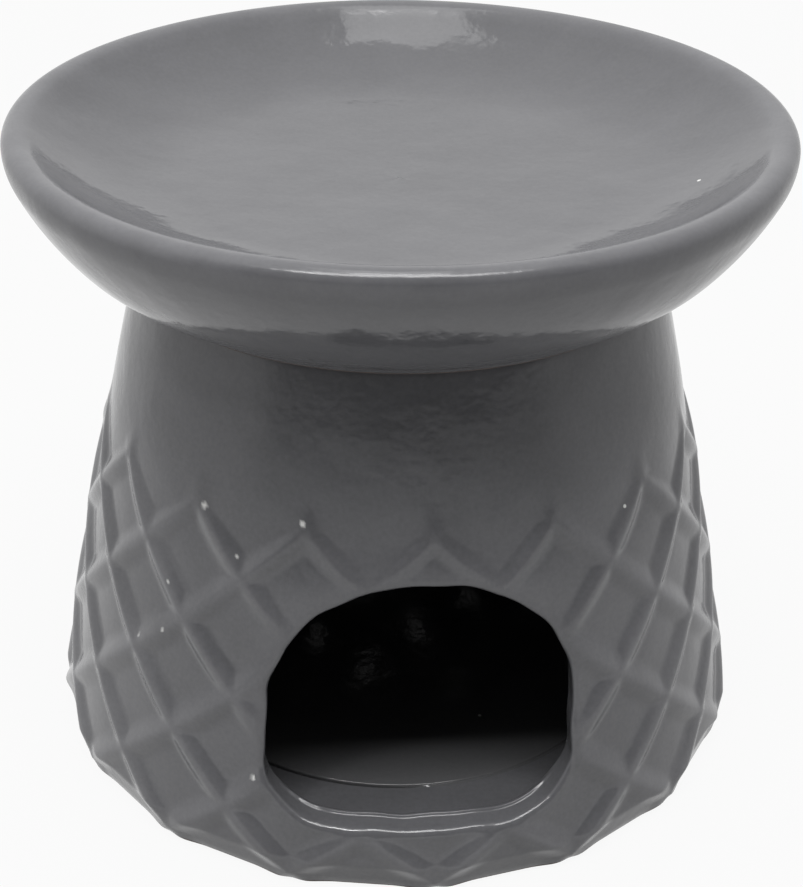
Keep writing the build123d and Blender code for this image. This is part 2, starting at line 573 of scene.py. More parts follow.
    def cut_window(
        self, draft: Draft, faces: Array, points: Array, outside: bool, grow: float
    ) -> tuple[Array, Array, Array]:
        """Cuts the window out of one side of the wall.

        Args:
            draft: The piece, which gets the new points on the cut.
            faces: Triangles of that side, by the numbers of their points.
            points: Places of the piece's points so far.
            outside: Whether this is the outside of the wall, or the inside.
            grow: Distance of the cut from the window's own edge.

        Returns:
            The triangles that stay, and the points along the cut with their places round it.
        """
        window = self.window
        reach = window.width / 2 + 2 * grow + 1 * MM
        top = window.spring + window.arch + 2 * grow + 1 * MM
        close = (np.abs(points[:, 0]) < reach) & (points[:, 1] < 0) & (points[:, 2] < top)
        close &= points[:, 2] > window.sill - 2 * grow - 1 * MM
        used = np.zeros(len(points), bool)
        used[faces.ravel()] = True
        chosen = np.flatnonzero(close & used)
        distance = np.full(len(points), 1.0)
        place = np.full(len(points), -1.0)
        measured = window.measure(points[chosen, 0], points[chosen, 2], grow)
        distance[chosen] = measured[0]
        snap = 0.12 * MM
        for number, gap, where, nearest in zip(chosen, *measured):
            if abs(gap) < snap:
                angle, radius = self.front_angle(nearest[0], nearest[1], outside)
                points[number] = turned(radius, angle, nearest[1])[0]
                distance[number] = 0.0
                place[number] = where
        outer = distance[faces] > 0
        inner = distance[faces] < 0
        kept = [faces[~inner.any(1) & outer.any(1)]]
        crossed = faces[outer.any(1) & inner.any(1)]
        new_points: dict[tuple[int, int], int] = {}
        cut: list[tuple[float, int]] = []

        def crossing(start: int, end: int) -> int:
            """Number of the point where an edge meets the cut, made once for each edge."""
            key = (min(start, end), max(start, end))
            if key not in new_points:
                share = distance[start] / (distance[start] - distance[end])
                guess = points[start] + share * (points[end] - points[start])
                _, where, nearest = window.measure(guess[:1], guess[2:], grow)
                angle, radius = self.front_angle(nearest[0, 0], nearest[0, 1], outside)
                new_points[key] = int(draft.add_points(turned(radius, angle, nearest[0, 1]))[0])
                cut.append((float(where[0]), new_points[key]))
            return new_points[key]

        clipped = []
        for face in crossed:
            loop = []
            for start, end in zip(face, np.roll(face, -1)):
                if distance[start] >= 0:
                    loop.append(int(start))
                if distance[start] * distance[end] < 0:
                    loop.append(crossing(int(start), int(end)))
            clipped += [(loop[0], loop[at], loop[at + 1]) for at in range(1, len(loop) - 1)]
        kept.append(np.array(clipped))
        faces_left = np.concatenate(kept)
        on_face = np.zeros(draft.count, bool)
        on_face[faces_left.ravel()] = True
        cut += [(float(place[number]), int(number)) for number in chosen if place[number] >= 0 and on_face[number]]
        cut.sort()
        return faces_left, np.array([number for _, number in cut]), np.array([where for where, _ in cut])

    def build(self) -> Draft:
        """Builds the whole closed shell."""
        draft = Draft()
        lattice = self.lattice
        segments = 2 * lattice.columns * self.outer_steps
        turn = FULL_TURN / segments
        angles = lattice.turn + np.arange(segments) * turn
        rows = self.outer_rows()
        angle_grid, row_grid = np.meshgrid(angles, rows)
        radius, crest = self.outer_surface(angle_grid, row_grid)
        # The bare band at the foot is widened so that its dark clay shows as a painted shadow line where the burner
        # meets the table.
        bare = 1 - smooth_step(row_grid, 0.5 * MM, 1.1 * MM)
        fleck = np.zeros(radius.shape)
        for fleck_turn, fleck_height, size in self.flecks:
            aside = (angle_grid - WINDOW_TURN - math.radians(fleck_turn) + math.pi) % FULL_TURN - math.pi
            gap = np.hypot(aside * radius, row_grid - fleck_height * MM) / (size * MM)
            fleck = np.maximum(fleck, 1 - smooth_step(gap, 0.5, 1.2))
        outer = draft.add_points(
            turned(radius, angle_grid, row_grid), crest.ravel(), bare.ravel(), fleck=fleck.ravel()
        )
        outer = outer.reshape(radius.shape)
        low, high = outer[:-1], outer[1:]
        low_next, high_next = np.roll(low, -1, axis=1), np.roll(high, -1, axis=1)
        middle_row = (rows[:-1] + rows[1:])[:, None] / 2
        first, second = lattice.crossings((angles + turn / 2)[None, :], middle_row)
        rising = (np.abs(first - np.rint(first)) < np.abs(second - np.rint(second)))[..., None]
        rising_faces = np.stack((low, low_next, high_next, low, high_next, high), axis=2)
        falling_faces = np.stack((low, low_next, high, low_next, high_next, high), axis=2)
        outer_faces = np.where(rising, rising_faces, falling_faces).reshape(-1, 3)

        radii, heights, first_wall = self.inner_outline()
        inner_turn = FULL_TURN / self.inner_segments
        inner_angles = lattice.turn + np.arange(self.inner_segments) * inner_turn
        inner_angle_grid, inner_row_grid = np.meshgrid(inner_angles, heights)
        inner_radius = np.repeat(radii[:, None], self.inner_segments, axis=1)
        wall = slice(first_wall, None)
        inner_radius[wall] += self.inner_surface(inner_angle_grid[wall], inner_row_grid[wall])
        under = (inner_row_grid < 0.3 * MM).astype(float)
        # Painted shade: the chamber wall is darkened, fading in over one lattice pitch above the floor.
        soot = smooth_step(inner_row_grid, self.floor_height, self.floor_height + self.lattice.pitch)
        inner = draft.add_points(
            turned(inner_radius, inner_angle_grid, inner_row_grid), 0.0, under.ravel(), soot.ravel()
        )
        inner = inner.reshape(inner_radius.shape)
        inner_low, inner_high = inner[:-1], inner[1:]
        inner_low_next, inner_high_next = np.roll(inner_low, -1, axis=1), np.roll(inner_high, -1, axis=1)
        inner_faces = np.stack(
            (inner_low, inner_low_next, inner_high_next, inner_low, inner_high_next, inner_high), axis=2
        ).reshape(-1, 3)

        outer_places = np.arange(segments) / segments
        inner_places = np.arange(self.inner_segments) / self.inner_segments
        draft.add_zip(outer[-1], outer_places, inner[-1], inner_places)
        draft.add_zip(outer[0], outer_places, inner[0], inner_places)
        self.open_window(draft, outer_faces, inner_faces)
        return draft

    def open_window(self, draft: Draft, outer_faces: Array, inner_faces: Array) -> None:
        """Cuts the window through the wall and lines it with a rounded reveal.

        Args:
            draft: The piece.
            outer_faces: Triangles of the outside.
            inner_faces: Triangles of the inside.
        """
        points = np.concatenate(draft.points)
        draft.points = [points]
        outer_left, outer_cut, outer_places = self.cut_window(draft, outer_faces, points, True, self.collar)
        points = np.concatenate(draft.points)
        draft.points = [points]
        inner_left, inner_cut, inner_places = self.cut_window(draft, inner_faces, points, False, self.collar)
        draft.faces += [outer_left, inner_left]
        arc = np.radians(np.linspace(0, 90, 8))
        outer_rings = [(0.8 * self.collar, 0.0)]
        outer_rings += [(self.edge_round * (1 - math.sin(turn)), self.edge_round * (1 - math.cos(turn))) for turn in arc]
        rings = [self.ring(grow, sink, True) for grow, sink in outer_rings]
        inner_rings = [self.ring(grow, -sink, False) for grow, sink in reversed(outer_rings)]
        depths = 20
        reveal_start = rings[-1]
        on_sill = 1 - smooth_step(reveal_start[:, 2], self.window.sill + 1 * MM, self.window.sill + 4 * MM)
        for depth in range(1, depths):
            share = depth / depths
            ring = reveal_start * (1 - share) + inner_rings[0] * share
            ring[:, 2] += self.sill_bead * on_sill * math.exp(-((share - 0.85) / 0.1) ** 2)
            rings.append(ring)
        rings += inner_rings
        loops = [draft.add_points(ring) for ring in rings]
        for near, far in zip(loops[:-1], loops[1:]):
            draft.add_strip(near, far)
        places = np.arange(self.window.samples) / self.window.samples
        draft.add_zip(outer_cut, outer_places, loops[0], places)
        draft.add_zip(inner_cut, inner_places, loops[-1], places)

    def ring(self, grow: float, sink: float, outside: bool) -> Array:
        """One loop of points round the window.

        Args:
            grow: Distance outside the window's edge.
            sink: Distance behind the outside of the wall, or with a minus before its inside.
            outside: Whether the loop follows the outside of the wall, or the inside.

        Returns:
            The points, one to a row.
        """
        outline, _ = self.window.outline(grow)
        angle, radius = self.front_angle(outline[:, 0], outline[:, 1], outside)
        points = turned(radius, angle, outline[:, 1])
        points[:, 1] += sink
        return points


@dataclass
class OilDish:
    """Shallow dish with a rounded lip, on a foot that stands on the neck, with a spigot inside the neck."""

    seat: float
    top: float
    radius: float
    lip_radius: float = 2.0 * MM
    lip_inner_radius: float = 3.5 * MM
    lip_slope: float = 42.0
    foot_radius: float = 42.9 * MM
    floor: float = 4.5 * MM
    bowl_depth: float = 11.0 * MM
    spigot_depth: float = 4.0 * MM
    spigot_radius: float = 35.8 * MM
    spigot_wall: float = 4.0 * MM
    outer_shares: tuple[tuple[float, float], ...] = ((0.042, 0.154), (0.452, 0.668), (0.82, 0.892), (1.0, 1.0))
    bowl_shares: tuple[tuple[float, float], ...] = ((0.6, 0.0866), (0.7725, 0.2677), (1.0, 1.0))
    unevenness: float = 0.12 * MM
    step: float = 0.5 * MM
    segments: int = 384

    def outline(self) -> Array:
        """Outline from the middle of the bowl over the lip and foot to the middle of the underside."""
        lip_height = self.top - self.lip_radius
        lip_middle = self.radius - self.lip_radius
        bottom = self.top - self.bowl_depth
        slope = math.radians(self.lip_slope)
        edge = lip_middle - self.lip_inner_radius * math.sin(slope)
        edge_rise = self.bowl_depth - self.lip_inner_radius * (1 - math.cos(slope))
        bowl = [(edge * r, bottom + edge_rise * z) for r, z in self.bowl_shares] + [(lip_middle, self.top)]
        outer = [
            (self.radius + (self.foot_radius - self.radius) * r, lip_height + (self.seat - lip_height) * z)
            for r, z in self.outer_shares
        ]
        lip = rounded_corner((lip_middle, lip_height), self.lip_radius, 90, 0, 12)
        under = bottom - self.floor
        bore = self.spigot_radius - self.spigot_wall
        end = self.seat - self.spigot_depth
        edge_round = 0.5 * MM
        foot = [
            (self.spigot_radius + edge_round, self.seat), (self.spigot_radius, self.seat - edge_round),
            (self.spigot_radius, end + edge_round), (self.spigot_radius - edge_round, end),
            (bore + edge_round, end), (bore, end + edge_round), (bore, under - 2 * edge_round),
            (bore - 2 * edge_round, under), (bore / 2, under), (edge_round, under),
        ]
        return np.concatenate((
            [(edge_round, bottom)], tangent_arcs((edge_round, bottom), 0.0, bowl, self.step),
            lip[1:], tangent_arcs((self.radius, lip_height), -math.pi / 2, outer, self.step), foot,
        ))

    def build(self) -> Draft:
        """Builds the closed dish."""
        draft = Draft()
        outline = self.outline()
        angles = np.arange(self.segments) * FULL_TURN / self.segments
        angle_grid, row = np.meshgrid(angles, np.arange(len(outline)))
        radius, height = outline[row, 0], outline[row, 1]
        free = smooth_step(height, self.seat + 1 * MM, self.top)
        radius = radius + (ripple(angle_grid, height, self.unevenness, seed=5) - self.unevenness) * free
        along = outline[row, 0]
        height = height + (ripple(angle_grid, along, self.unevenness, seed=6) - self.unevenness) * free
        lip_gap = np.hypot(along - (self.radius - self.lip_radius), outline[row, 1] - (self.top - self.lip_radius))
        # The lip counts as a crest: rougher, and lightened with the painted highlight colour.
        crest = 1 - smooth_step(lip_gap, self.lip_radius, 2 * self.lip_radius)
        bare = (outline[row, 1] < self.seat + 0.1 * MM) & (along > self.spigot_radius - 0.1 * MM)
        loops = draft.add_points(
            turned(radius, angle_grid, height), crest.ravel(), bare.astype(float).ravel()
        ).reshape(radius.shape)
        for near, far in zip(loops[:-1], loops[1:]):
            draft.add_strip(near, far)
        top_middle = draft.add_points(np.array([(0, 0, self.top - self.bowl_depth)]))[0]
        under_middle = draft.add_points(np.array([(0, 0, outline[-1, 1])]))[0]
        draft.add_fan(loops[0], top_middle)
        draft.add_fan(loops[-1], under_middle)
        return draft


@dataclass
class CandleFloor:
    """Disc bedded in the foot, on which the candle stands."""

    bottom: float
    top: float
    radius: float
    edge_round: float = 0.3 * MM
    unevenness: float = 0.08 * MM
    segments: int = 256

    def build(self) -> Draft:
        """Builds the closed disc, with a rounded upper edge and a slightly uneven top."""
        draft = Draft()
        edge = rounded_corner((self.radius - self.edge_round, self.top - self.edge_round), self.edge_round, 90, 0, 8)
        rings = np.linspace(0.5 * MM, self.radius - self.edge_round, 40)[:-1]
        outline = np.concatenate((
            np.column_stack((rings, np.full(len(rings), self.top))), edge,
            [(self.radius, self.bottom + 0.3 * MM), (self.radius - 0.3 * MM, self.bottom), (0.5 * MM, self.bottom)],
        ))
        angles = np.arange(self.segments) * FULL_TURN / self.segments
        angle_grid, row = np.meshgrid(angles, np.arange(len(outline)))
        radius, height = outline[row, 0], outline[row, 1]
        upper = (height > self.top - self.edge_round) * np.clip(radius / self.radius, 0, 1)
        height = height + (ripple(angle_grid, radius, self.unevenness, seed=9) - self.unevenness) * upper
        bare = (outline[row, 1] < self.bottom + 0.2 * MM).astype(float)
        loops = draft.add_points(turned(radius, angle_grid, height), 0.0, bare.ravel()).reshape(radius.shape)
        for near, far in zip(loops[:-1], loops[1:]):
            draft.add_strip(near, far)
        draft.add_fan(loops[0], draft.add_points(np.array([(0, 0, self.top)]))[0])
        draft.add_fan(loops[-1], draft.add_points(np.array([(0, 0, self.bottom)]))[0])
        return draft


class GroupDraft:
    """A shader node group with named sockets, laid out from left to right."""

    def __init__(self, name: str, inputs: dict[str, tuple[str, object]], outputs: dict[str, str]) -> None:
        """Makes the group with its sockets.

        Args:
            name: Name of the group.
            inputs: Socket type and default value for each input.
            outputs: Socket type for each output.
        """
        self.tree = bpy.data.node_groups.new(name, "ShaderNodeTree")
        for label, (kind, value) in inputs.items():
            socket = self.tree.interface.new_socket(label, in_out="INPUT", socket_type=kind)
            socket.default_value = value
        for label, kind in outputs.items():
            self.tree.interface.new_socket(label, in_out="OUTPUT", socket_type=kind)
        self.entry = self.tree.nodes.new("NodeGroupInput").outputs
        self.exit = self.tree.nodes.new("NodeGroupOutput").inputs

    def node(self, kind: str, links: dict[str | int, bpy.types.NodeSocket], **settings: object) -> bpy.types.Node:
        """Adds a node to the group, as add_node does."""
        return add_node(self.tree, kind, links, **settings)

    def join(self, output: bpy.types.NodeSocket, label: str) -> None:
        """Leads a value out of the group."""
        self.tree.links.new(output, self.exit[label])


def add_node(
    tree: bpy.types.NodeTree, kind: str, links: dict[str | int, object], **settings: object
) -> bpy.types.Node:
    """Adds a node, sets it up and links its inputs.

    Args:
        tree: The node tree.
        kind: Type of the node.
        links: For each input, a socket to link or a plain value to set.
        settings: Properties of the node.

    Returns:
        The node.
    """
    node = tree.nodes.new(kind)
    for name, value in settings.items():
        setattr(node, name, value)
    for label, value in links.items():
        if isinstance(value, bpy.types.NodeSocket):
            tree.links.new(value, node.inputs[label])
        else:
            node.inputs[label].default_value = value
    return node


class GlazeEffects:
    """Node groups that all the glazes share."""

    def __init__(self) -> None:
        """Builds each group once."""
        self.pooling = self.build_pooling()
        self.skin = self.build_skin()
        self.specks = self.build_specks()
        self.biscuit = self.build_biscuit()

    def build_pooling(self) -> bpy.types.NodeTree:
        """Colour of the glaze: cloudy where it pooled, lightened over the crests as a painted highlight and darkened as
        painted shade inside the chamber.
        """
        colour = "NodeSocketColor"
        number = "NodeSocketFloat"
        group = GroupDraft(
            "glaze_pooling",
            {
                "Glaze": (colour, (0.18, 0.18, 0.185, 1)),
                "Crest Highlight": (colour, (0.24, 0.24, 0.245, 1)),
                "Cloud Size": (number, 70.0),
                "Clouding": (number, 0.12),
                "Crest": (number, 0.0),
                "Chamber Shade": (number, 0.0),
            },
            {"Color": colour},
        )
        place = group.node("ShaderNodeTexCoord", {}).outputs["Object"]
        cloud = group.node(
            "ShaderNodeTexNoise", {"Vector": place, "Scale": group.entry["Cloud Size"], "Detail": 5.0, "Roughness": 0.6}
        ).outputs["Fac"]
        grain = group.node(
            "ShaderNodeTexNoise", {"Vector": place, "Scale": 1400.0, "Detail": 2.0, "Roughness": 0.5}
        ).outputs["Fac"]
        both = group.node(
            "ShaderNodeMix", {"Factor": 0.4, "A": cloud, "B": grain}, data_type="FLOAT"
        ).outputs["Result"]
        centred = group.node("ShaderNodeMath", {0: both, 1: 0.5}, operation="SUBTRACT").outputs[0]
        swing = group.node(
            "ShaderNodeMath", {0: centred, 1: group.entry["Clouding"]}, operation="MULTIPLY"
        ).outputs[0]
        strength = group.node("ShaderNodeMath", {0: swing, 1: 2.0, 2: 1.0}, operation="MULTIPLY_ADD").outputs[0]
        # Painted shade: where the chamber is shaded, the colour drops to 8 % of the glaze.
        unshaded_share = group.node(
            "ShaderNodeMath", {0: group.entry["Chamber Shade"], 1: -0.92, 2: 1.0}, operation="MULTIPLY_ADD"
        ).outputs[0]
        strength = group.node("ShaderNodeMath", {0: strength, 1: unshaded_share}, operation="MULTIPLY").outputs[0]
        # Painted highlight: a ragged lighter colour over the crests.
        ragged = group.node("ShaderNodeMath", {0: cloud, 1: 1.4}, operation="MULTIPLY").outputs[0]
        crest_highlight = group.node(
            "ShaderNodeMath", {0: group.entry["Crest"], 1: ragged}, operation="MULTIPLY", use_clamp=True
        ).outputs[0]
        blend = group.node(
            "ShaderNodeMix",
            {"Factor": crest_highlight, "A": group.entry["Glaze"], "B": group.entry["Crest Highlight"]},
            data_type="RGBA",
        )
        tinted = group.node("ShaderNodeVectorMath", {0: blend.outputs["Result"]}, operation="SCALE")
        group.tree.links.new(strength, tinted.inputs["Scale"])
        group.join(tinted.outputs[0], "Color")
        return group.tree

    def build_skin(self) -> bpy.types.NodeTree:
        """Height of the glaze skin: long waves and a fine orange peel, with its roughness."""
        number = "NodeSocketFloat"
        group = GroupDraft(
            "glaze_skin",
            {"Waves": (number, 0.6), "Peel": (number, 0.12), "Gloss": (number, 0.12)},
            {"Height": number, "Roughness": number},
        )
        place = group.node("ShaderNodeTexCoord", {}).outputs["Object"]
        waves = group.node(
            "ShaderNodeTexNoise", {"Vector": place, "Scale": 110.0, "Detail": 1.0, "Roughness": 0.4}
        ).outputs["Fac"]
        peel = group.node(
            "ShaderNodeTexNoise", {"Vector": place, "Scale": 620.0, "Detail": 1.5, "Roughness": 0.5}
        ).outputs["Fac"]
        long = group.node("ShaderNodeMath", {0: waves, 1: group.entry["Waves"]}, operation="MULTIPLY").outputs[0]
        total = group.node(
            "ShaderNodeMath", {0: peel, 1: group.entry["Peel"], 2: long}, operation="MULTIPLY_ADD"
        ).outputs[0]
        group.join(total, "Height")
        rough = group.node("ShaderNodeMath", {0: waves, 1: 0.1, 2: -0.05}, operation="MULTIPLY_ADD").outputs[0]
        rough = group.node(
            "ShaderNodeMath", {0: rough, 1: group.entry["Gloss"]}, operation="ADD", use_clamp=True
        ).outputs[0]
        group.join(rough, "Roughness")
        return group.tree

    def build_specks(self) -> bpy.types.NodeTree:
        """Mask of small pinholes, scattered here and there in the glaze."""
        number = "NodeSocketFloat"
        group = GroupDraft(
            "glaze_pinholes", {"Spacing": (number, 160.0), "Size": (number, 0.05), "Share": (number, 0.03)},
            {"Mask": number},
        )
        place = group.node("ShaderNodeTexCoord", {}).outputs["Object"]
        cells = group.node("ShaderNodeTexVoronoi", {"Vector": place, "Scale": group.entry["Spacing"]})
        near = group.node(
            "ShaderNodeMath", {0: cells.outputs["Distance"], 1: group.entry["Size"]}, operation="LESS_THAN"
        ).outputs[0]
        pick = group.node("ShaderNodeSeparateColor", {"Color": cells.outputs["Color"]}).outputs["Red"]
        chosen = group.node(
            "ShaderNodeMath", {0: pick, 1: group.entry["Share"]}, operation="LESS_THAN"
        ).outputs[0]
        mask = group.node("ShaderNodeMath", {0: near, 1: chosen}, operation="MULTIPLY").outputs[0]
        group.join(mask, "Mask")
        return group.tree

    def build_biscuit(self) -> bpy.types.NodeTree:
        """Colour of the bare fired clay, kept dark so that the bare foot also gives a painted shadow line at the table,
        and a ragged mask of where the glaze stops.
        """
        number = "NodeSocketFloat"
        colour = "NodeSocketColor"
        group = GroupDraft(
            "bare_clay_and_foot_shade",
            # Real bare clay, darkened to stand in for the shadow along the foot: painted shade.
            {"Bare": (number, 0.0), "Clay And Foot Shade": (colour, (0.12, 0.09, 0.075, 1))},
            {"Color": colour, "Mask": number},
        )
        place = group.node("ShaderNodeTexCoord", {}).outputs["Object"]
        grain = group.node(
            "ShaderNodeTexNoise", {"Vector": place, "Scale": 420.0, "Detail": 6.0, "Roughness": 0.7}
        ).outputs["Fac"]
        shade = group.node("ShaderNodeMath", {0: grain, 1: 0.8, 2: 0.6}, operation="MULTIPLY_ADD").outputs[0]
        tinted = group.node("ShaderNodeVectorMath", {0: group.entry["Clay And Foot Shade"]}, operation="SCALE")
        group.tree.links.new(shade, tinted.inputs["Scale"])
        group.join(tinted.outputs[0], "Color")
        ragged = group.node("ShaderNodeMath", {0: grain, 1: 0.8, 2: -0.4}, operation="MULTIPLY_ADD").outputs[0]
        edge = group.node("ShaderNodeMath", {0: group.entry["Bare"], 1: ragged}, operation="ADD").outputs[0]
        mask = group.node("ShaderNodeMath", {0: edge, 1: 0.5}, operation="GREATER_THAN").outputs[0]
        group.join(mask, "Mask")
        return group.tree


@dataclass(frozen=True)
class GlazeFinish:
    """Glossy grey glaze over the fired clay."""

    name: str
    glaze: tuple[float, float, float, float]
    # Lighter colour painted over the crests and the dish's lip as a highlight.
    crest_highlight: tuple[float, float, float, float]
    clouding: float = 0.17
    gloss: float = 0.12
    crest_roughness: float = 0.2
    waves: float = 0.6
    fleck: tuple[float, float, float, float] = (0.8, 0.8, 0.78, 1)
    bump: float = 0.35 * MM
    coat_index: float = 2.0

    def build(self, effects: GlazeEffects) -> bpy.types.Material:
        """Makes the material.

        Args:
            effects: The shared node groups.

        Returns:
            The material.
        """
        material = bpy.data.materials.new(self.name)
        material.use_nodes = True
        tree = material.node_tree
        shader = tree.nodes["Principled BSDF"]
        crest = add_node(tree, "ShaderNodeAttribute", {}, attribute_name=Mark.CREST.value).outputs["Fac"]
        bare = add_node(tree, "ShaderNodeAttribute", {}, attribute_name=Mark.BARE.value).outputs["Fac"]
        # This mark darkens the colour as painted shade inside the chamber, and also weights the clear coat.
        soot = add_node(tree, "ShaderNodeAttribute", {}, attribute_name=Mark.SOOT.value).outputs["Fac"]
        pooling = add_node(
            tree, "ShaderNodeGroup", {}, node_tree=effects.pooling
        )
        pooling.inputs["Glaze"].default_value = self.glaze
        pooling.inputs["Crest Highlight"].default_value = self.crest_highlight
        pooling.inputs["Clouding"].default_value = self.clouding
        tree.links.new(crest, pooling.inputs["Crest"])
        tree.links.new(soot, pooling.inputs["Chamber Shade"])
        skin = add_node(tree, "ShaderNodeGroup", {}, node_tree=effects.skin)
        skin.inputs["Gloss"].default_value = self.gloss
        skin.inputs["Waves"].default_value = self.waves
        specks = add_node(tree, "ShaderNodeGroup", {}, node_tree=effects.specks)
        clay = add_node(tree, "ShaderNodeGroup", {}, node_tree=effects.biscuit)
        tree.links.new(bare, clay.inputs["Bare"])
        fleck = add_node(tree, "ShaderNodeAttribute", {}, attribute_name=Mark.FLECK.value).outputs["Fac"]
        spots = add_node(
            tree, "ShaderNodeMath", {0: specks.outputs["Mask"], 1: fleck}, operation="MAXIMUM"
        ).outputs[0]
        flecked = add_node(
            tree, "ShaderNodeMix", {"Factor": spots, "A": pooling.outputs["Color"], "B": self.fleck},
            data_type="RGBA",
        )
        colour = add_node(
            tree, "ShaderNodeMix",
            {"Factor": clay.outputs["Mask"], "A": flecked.outputs["Result"], "B": clay.outputs["Color"]},
            data_type="RGBA",
        )
        worn = add_node(
            tree, "ShaderNodeMix", {"Factor": crest, "A": skin.outputs["Roughness"], "B": self.crest_roughness},
            data_type="FLOAT",
        )
        rough = add_node(
            tree, "ShaderNodeMix",
            {"Factor": clay.outputs["Mask"], "A": worn.outputs["Result"], "B": 0.85}, data_type="FLOAT",
        )
        relief = add_node(
            tree, "ShaderNodeBump", {"Height": skin.outputs["Height"], "Distance": self.bump, "Strength": 1.0}
        )
        tree.links.new(colour.outputs["Result"], shader.inputs["Base Color"])
        tree.links.new(rough.outputs["Result"], shader.inputs["Roughness"])
        tree.links.new(relief.outputs["Normal"], shader.inputs["Normal"])
        tree.links.new(soot, shader.inputs["Coat Weight"])
        shader.inputs["Coat IOR"].default_value = self.coat_index
        shader.inputs["IOR"].default_value = 1.52
        return material


@dataclass(frozen=True)
class Lamp:
    """Oblong soft light that hangs over the burner, with a place, a size and a radiance."""

    name: str
    place: tuple[float, float, float]
    size: tuple[float, float]
    radiance: float

    def hang(self) -> None:
        """Adds the light to the scene, facing the burner."""
        light = bpy.data.lights.new(self.name, "AREA")
        light.shape = "RECTANGLE"
        light.size, light.size_y = self.size
        light.energy = math.pi * self.radiance * self.size[0] * self.size[1]
        lamp = bpy.data.objects.new(self.name, light)
        lamp.location = self.place
        aim = Vector((0, 0, 0.05)) - Vector(self.place)
        lamp.rotation_euler = aim.to_track_quat("-Z", "Y").to_euler()
        bpy.context.scene.collection.objects.link(lamp)


